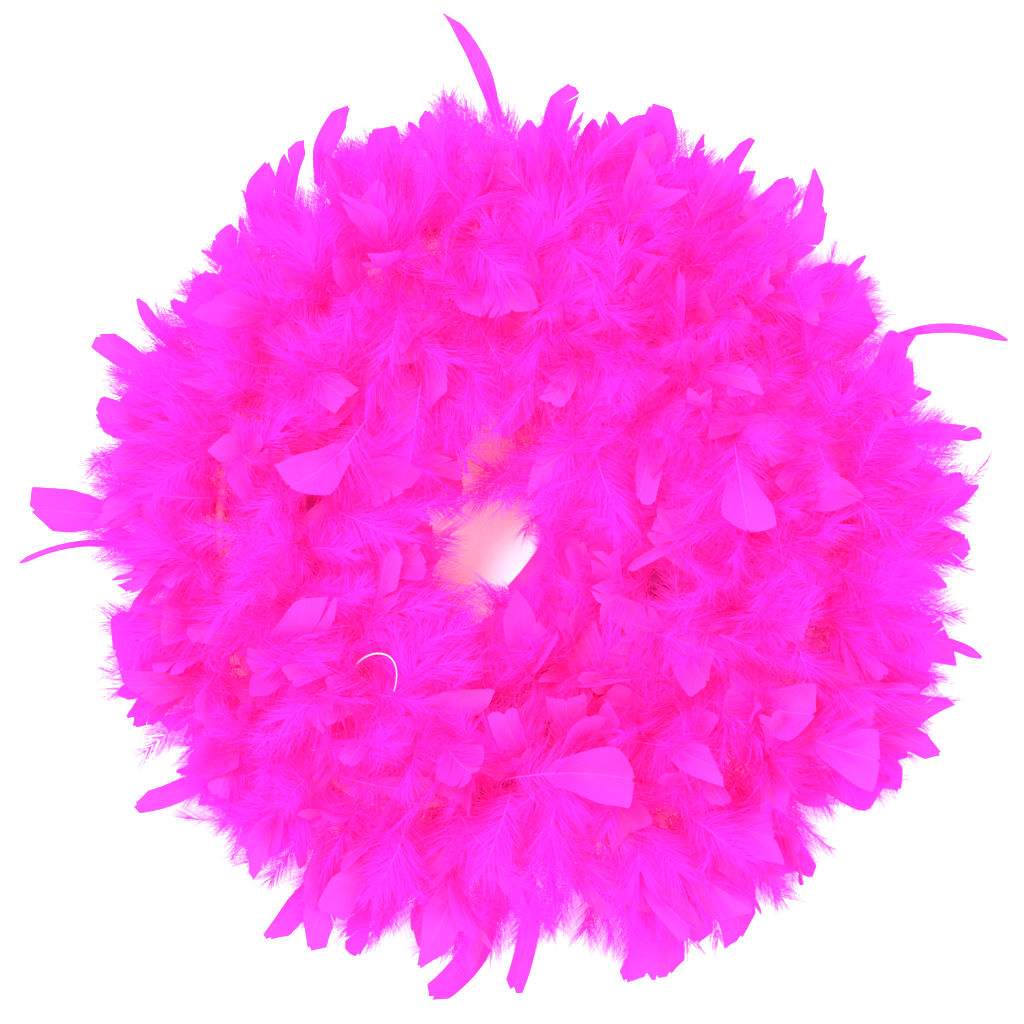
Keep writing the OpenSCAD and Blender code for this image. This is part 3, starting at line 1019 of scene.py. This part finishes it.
@dataclass
class Core:
    """The twisted cord through the whole boa, its knots, and the threads wound over the quills."""

    coil: Coil
    home: dict[str, str]
    diameter: float = 0.005
    ring_step: float = 0.9 * MM
    knot_from: float = -77.0    # where the cord enters its outer knot
    knot_to: float = 798.3
    thread: float = 0.8 * MM
    lashing_r: float = 4.2 * MM
    lashing_l: float = 5 * MM
    whipping_l: float = 7 * MM
    whipped: tuple[tuple[str, float], ...] = (("outer_end", -74.0), ("inner_end", 790.3))
    knot_clear: float = 6.0     # the angle beside the outer knot that has no lashing
    step_clear: float = 3.0     # and where the first turn ends
    plies: int = 3
    knot_r: float = 1.3 * MM    # a third of the knot's own radius
    knot_cord_r: float = 1.8 * MM
    fray: int = 26              # loose fibres at each knot
    fray_r: float = 0.25 * MM
    knot_seed: int = 77

    def lengths(self) -> list[CordLength]:
        """The cord's modelled lengths, outer end first."""
        edge = self.coil.boundary
        cuts = [self.knot_from, *((edge(i) + edge(i + 1)) / 2 for i in (1, 2, 3, 23, 24)),
                self.knot_to]
        bends = (*JOINTS[:3], None, *JOINTS[3:])
        names = ("outer_end", "outer_mid", "outer_tail", "coil", "inner_tail", "inner_end")
        return [CordLength("cord_" + name, first, last, joint, "core_cord_" + name)
                for name, first, last, joint in zip(names, cuts[:-1], cuts[1:], bends)]

    def cords(self, mat: bpy.types.Material) -> None:
        """Makes the twisted cord.

        Args:
            mat: its yarn.
        """
        made = []
        for k, part in enumerate(self.lengths()):
            rough = self.coil.point(np.arange(part.first, part.last, 0.5))
            run = float(np.linalg.norm(np.diff(rough, axis=0), axis=1).sum())
            path = self.coil.point(np.linspace(part.first, part.last, int(run / self.ring_step)))
            run = float(np.linalg.norm(np.diff(path, axis=0), axis=1).sum())
            mesh = Surface()
            tube(mesh, path, self.diameter / 2, 18, flutes=self.plies)
            piece = mesh.build(part.name, [mat])
            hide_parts(part.node)
            if part.joint:
                part.joint.blend(piece, self.coil)
            else:
                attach(piece, self.home[part.node])
            last = k == len(self.lengths()) - 1
            made.append(run)
            LOG.info("%s: %.0f mm", part.name, run / MM)
        LOG.info("cord in all: %.3f m", sum(made))

    def winding(self, surface: Surface, a: float, length: float, radius: float) -> None:
        """Adds thread wound tight round the cord.

        Args:
            surface: the mesh to add to.
            a: the angle round the coil of its middle.
            length: how much of the cord it covers.
            radius: from the cord's middle to the thread's.
        """
        turns = length / self.thread
        phase = np.linspace(0, 2 * np.pi * turns, int(turns * 16))
        ahead, out = self.coil.forwards(np.array(a)), self.coil.outwards(np.array(a))
        out = unit(out - np.dot(out, ahead) * ahead)
        along = (phase / phase[-1] - 0.5) * (length - self.thread)
        path = (self.coil.point(np.array(a)) + along[:, None] * ahead
                + radius * (np.cos(phase)[:, None] * out + np.sin(phase)[:, None] * UP))
        tube(surface, path, self.thread / 2 * PRESSED, ROUND)

    def threads(self, mat: bpy.types.Material) -> None:
        """Makes the lashings over the quills and the whippings at both ends.

        Args:
            mat: their thread.
        """
        edge = self.coil.boundary
        groups: dict[str, Surface] = {}
        for i in range(self.coil.bunches):
            first = edge(i) + (self.knot_clear if i == 0 else 0)
            last = edge(i + 1) - (self.step_clear if i == self.coil.first_count - 1 else 0)
            mesh = groups.setdefault(body_of_bunch(i), Surface())
            for share in (0.25, 0.5, 0.75):
                self.winding(mesh, first + (last - first) * share, self.lashing_l, self.lashing_r)
        for body, mesh in groups.items():
            node = "quill_lashing_" + body
            self.place(mesh.build("lashing_" + body, [mat]), node, "lashing_thread")
        for body, a in self.whipped:
            mesh = Surface()
            self.winding(mesh, a, self.whipping_l, self.lashing_r + 0.5 * MM)
            self.place(mesh.build("whipping_wound_" + body, [mat]), "whipping_" + body,
                       "lashing_thread")

    def knots(self, mat: bpy.types.Material) -> None:
        """Makes the overhand knot at each end, with its short frayed tail.

        Args:
            mat: the cord's yarn.
        """
        t = np.linspace(0, 2 * np.pi, 120)
        shape = np.stack([np.sin(t) + 2 * np.sin(2 * t), np.cos(t) - 2 * np.cos(2 * t),
                          -np.sin(3 * t)], -1) * self.knot_r
        rng = np.random.default_rng(self.knot_seed)
        for body, _ in self.whipped:
            low, high = (np.array(c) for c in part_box("knot_" + body))
            mesh = Surface()
            tube(mesh, (low + high) / 2 + shape, self.knot_cord_r, 14, flutes=self.plies,
                 pitch=0.010)
            for _ in range(self.fray):
                way = unit(rng.normal(0, 1, 3) * (1, 1, 0.5))
                u = np.linspace(0, 1, 5)[:, None]
                path = (low + high) / 2 + 3 * MM * way + 6 * MM * (u * way - 0.3 * u * u * UP)
                tube(mesh, path, self.fray_r, 5)
            self.place(mesh.build("overhand_" + body, [mat]), "knot_" + body, "twisted_cord")

    def place(self, piece: bpy.types.Object, node: str, slot: str) -> None:
        """Puts a piece in a frame node's stead.

        Args:
            piece: the piece.
            node: the frame's node.
            slot: not used.
        """
        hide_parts(node)
        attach(piece, self.home[node])
        LOG.info("%s stands for %s", piece.name, node)


# ---------------------------------------------------------------- studio

@dataclass(frozen=True)
class Studio:
    """A white sweep, a soft overhead light and a camera straight above."""

    lens_mm: float = 100.0
    width: float = 0.512          # what the picture takes in at the coil's middle height
    level: float = 0.06
    floor_side: float = 8.0
    bounces: int = 8              # light passes from barb to barb and lights the pile within
    surround: float = 2.05        # the white room's strength
    lit_at: float = 0.04          # the height that both lamps point at
    lamps: tuple[tuple[str, tuple[float, float, float], float, float], ...] = (
        ("key", (-0.9, 0.8, 1.9), 0.9, 60.0), ("fill", (1.2, -0.6, 1.7), 1.2, 26.0))

    def build(self) -> None:
        """Makes the floor, the lights, the world and the camera."""
        self.floor()
        self.lights()
        self.camera()
        scene = bpy.context.scene
        scene.view_settings.view_transform = "Standard"
        scene.cycles.diffuse_bounces = self.bounces
        scene.cycles.transmission_bounces = self.bounces

    def floor(self) -> None:
        """Makes the white sweep."""
        half = self.floor_side / 2
        mesh = bpy.data.meshes.new("sweep")
        mesh.from_pydata([(-half, -half, 0), (half, -half, 0), (half, half, 0), (-half, half, 0)],
                         [], [(0, 1, 2, 3)])
        floor = bpy.data.objects.new("sweep", mesh)
        bpy.context.scene.collection.objects.link(floor)
        mat = bpy.data.materials.new("matt_white_paper")
        mat.use_nodes = True
        tree = mat.node_tree
        tree.nodes.clear()
        place = add_node(tree, "ShaderNodeTexCoord")
        grain = add_node(tree, "ShaderNodeTexNoise", None, Vector=place.outputs["Object"],
                         Scale=900.0, Detail=2.0)
        bump = add_node(tree, "ShaderNodeBump", None, Height=grain.outputs["Fac"],
                        Strength=0.05, Distance=0.1 * MM)
        skin = add_node(tree, "ShaderNodeBsdfPrincipled", None, Base_Color=linear("f9f9f9"),
                        Roughness=0.9, Normal=bump)
        add_node(tree, "ShaderNodeOutputMaterial", None, Surface=skin)
        mesh.materials.append(mat)

    def lights(self) -> None:
        """Makes one broad key light and an even white surround."""
        world = bpy.data.worlds.new("white_room")
        bpy.context.scene.world = world
        world.use_nodes = True
        tree = world.node_tree
        tree.nodes.clear()
        shine = add_node(tree, "ShaderNodeBackground", None, Color=linear("ffffff"),
                         Strength=self.surround)
        add_node(tree, "ShaderNodeOutputWorld", None, Surface=shine)
        for name, place, size, watts in self.lamps:
            lamp = bpy.data.lights.new(name, "AREA")
            lamp.shape = "DISK"
            lamp.size = size
            lamp.energy = watts
            holder = bpy.data.objects.new(name, lamp)
            bpy.context.scene.collection.objects.link(holder)
            holder.location = place
            aim = np.array(place) - self.lit_at * UP
            flat = math.hypot(aim[0], aim[1])
            holder.rotation_euler = (math.atan2(flat, aim[2]), 0,
                                     math.atan2(aim[1], aim[0]) + math.pi / 2)

    def camera(self) -> None:
        """Makes the camera, level and straight above the origin."""
        data = bpy.data.cameras.new("camera")
        data.lens = self.lens_mm
        data.sensor_width = 36.0
        data.clip_start = 0.05
        camera = bpy.data.objects.new("camera", data)
        bpy.context.scene.collection.objects.link(camera)
        height = self.level + self.width * self.lens_mm / data.sensor_width
        camera.location = (0, 0, height)
        bpy.context.scene.camera = camera


def main() -> None:
    """Builds the boa around its frame."""
    logging.basicConfig(level=logging.INFO, format="%(message)s")
    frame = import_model()
    bodies = frame["record"]["behaviour"]["bodies"]
    home = {node: body for body, nodes in bodies.items() for node in nodes}
    coil, room = Coil(), Room()
    Studio().build()
    core = Core(coil, home)
    cord, thread = CORD.material(), THREAD.material()
    core.cords(cord)
    core.threads(thread)
    core.knots(cord)
    mats = [VANE.material(), DOWN.material(), QUILL.material()]
    Bunches(coil, Stitching(coil, room)).build(mats)
    strays = StrayFeathers(coil, room, home)
    strays.build(mats)
    strays.bare_quill(PALE_QUILL.material())


if __name__ == "__main__":
    main()
